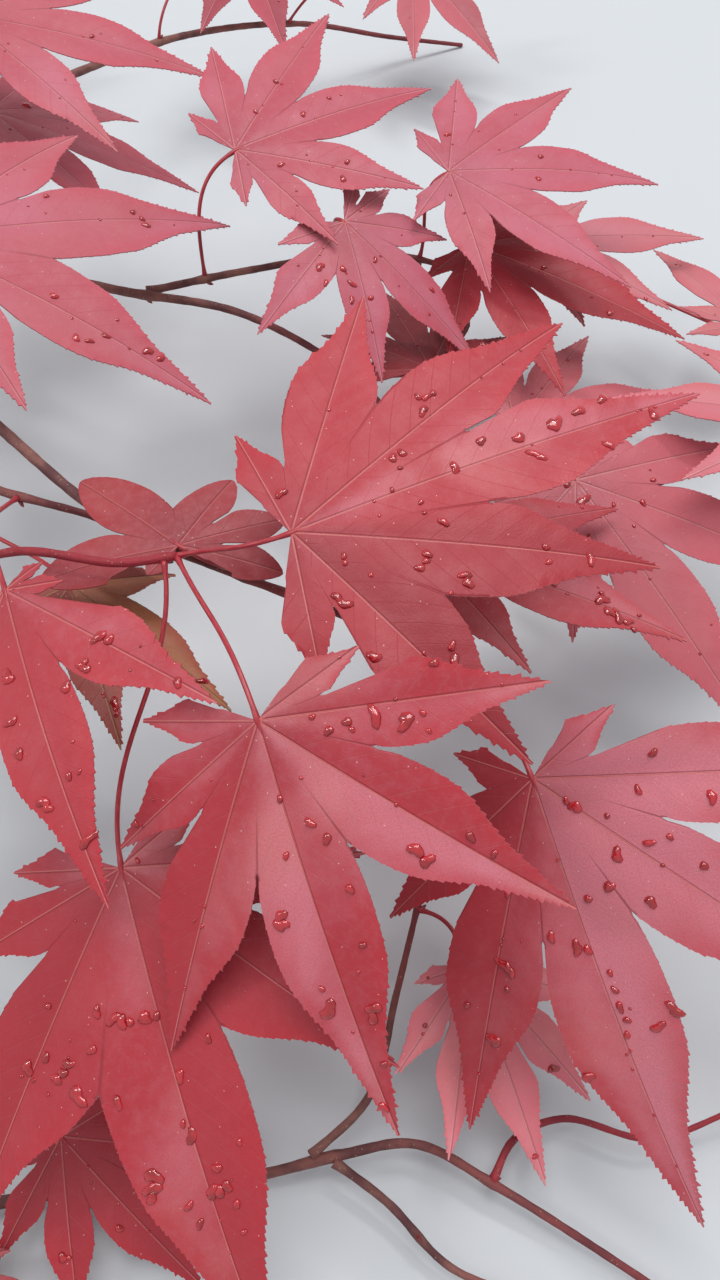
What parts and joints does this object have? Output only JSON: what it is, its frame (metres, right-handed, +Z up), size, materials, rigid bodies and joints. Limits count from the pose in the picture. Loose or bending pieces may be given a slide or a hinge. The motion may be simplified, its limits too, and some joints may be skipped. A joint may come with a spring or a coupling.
{
  "type": "cut japanese maple branch",
  "caption": "Leafy branch cut from a japanese maple, lying down: an arched woody stem with fine twigs and red, deeply lobed, toothed leaves on long stalks.",
  "frame": {"origin": "centre of the branch's outline in plan, at the level surface it lies on", "axes": "+Z up; +Y from the cut end of the stem towards its tip; +X towards the side where most of the leaves are"},
  "size_m": [0.3713, 0.5171, 0.1064],
  "materials": {
    "bark": "matt, purple-brown to tan bark",
    "shoot": "satin, red young shoot",
    "leaf_rose": "satin leaf, rose red",
    "leaf_pink": "satin leaf, dusty pink",
    "leaf_pale": "satin leaf, pale pink",
    "leaf_dark": "satin leaf, brown red",
    "leaf_olive": "satin leaf, olive brown with green veins"
  },
  "bodies": {
    "root": {"main_stem": "bark", "twig_middle": "bark", "twig_left": "bark", "shoot_front": "shoot", "twig_upper": "bark", "twig_right": "bark", "twig_right_low": "bark", "twig_top": "bark", "twig_side_left": "bark", "twig_low": "bark", "twig_low_back": "bark", "twig_low_front": "bark", "twig_low_right": "shoot", "twig_low_left": "bark", "leaf_centre": "leaf_rose", "leaf_upper_centre": "leaf_rose", "leaf_right": "leaf_rose", "leaf_left": "leaf_rose", "leaf_left_under": "leaf_olive", "leaf_lower_left": "leaf_rose", "leaf_behind_node": "leaf_dark", "leaf_under_upper": "leaf_rose", "leaf_right_pale": "leaf_pale", "leaf_right_edge": "leaf_pale", "leaf_right_back": "leaf_pale", "leaf_dark_behind": "leaf_dark", "leaf_top_left": "leaf_pink", "leaf_top_left_high": "leaf_pink", "leaf_top_left_back": "leaf_dark", "leaf_top_centre": "leaf_pink", "leaf_top_middle": "leaf_pink", "leaf_top_right": "leaf_pink", "leaf_under_top_right": "leaf_rose", "leaf_far_right": "leaf_pale", "leaf_right_outer": "leaf_pale", "leaf_low_pink": "leaf_pale", "leaf_low_left": "leaf_pale", "leaf_low_front": "leaf_dark", "leaf_low_right": "leaf_pale", "leaf_far": "leaf_pale", "leaf_far_left": "leaf_pink", "leaf_stem_tip": "leaf_rose", "leaf_stem_tip_left": "leaf_dark", "leaf_side_high": "leaf_rose", "leaf_side_back": "leaf_rose", "leaf_side_low": "leaf_rose"}
  },
  "joints": []
}
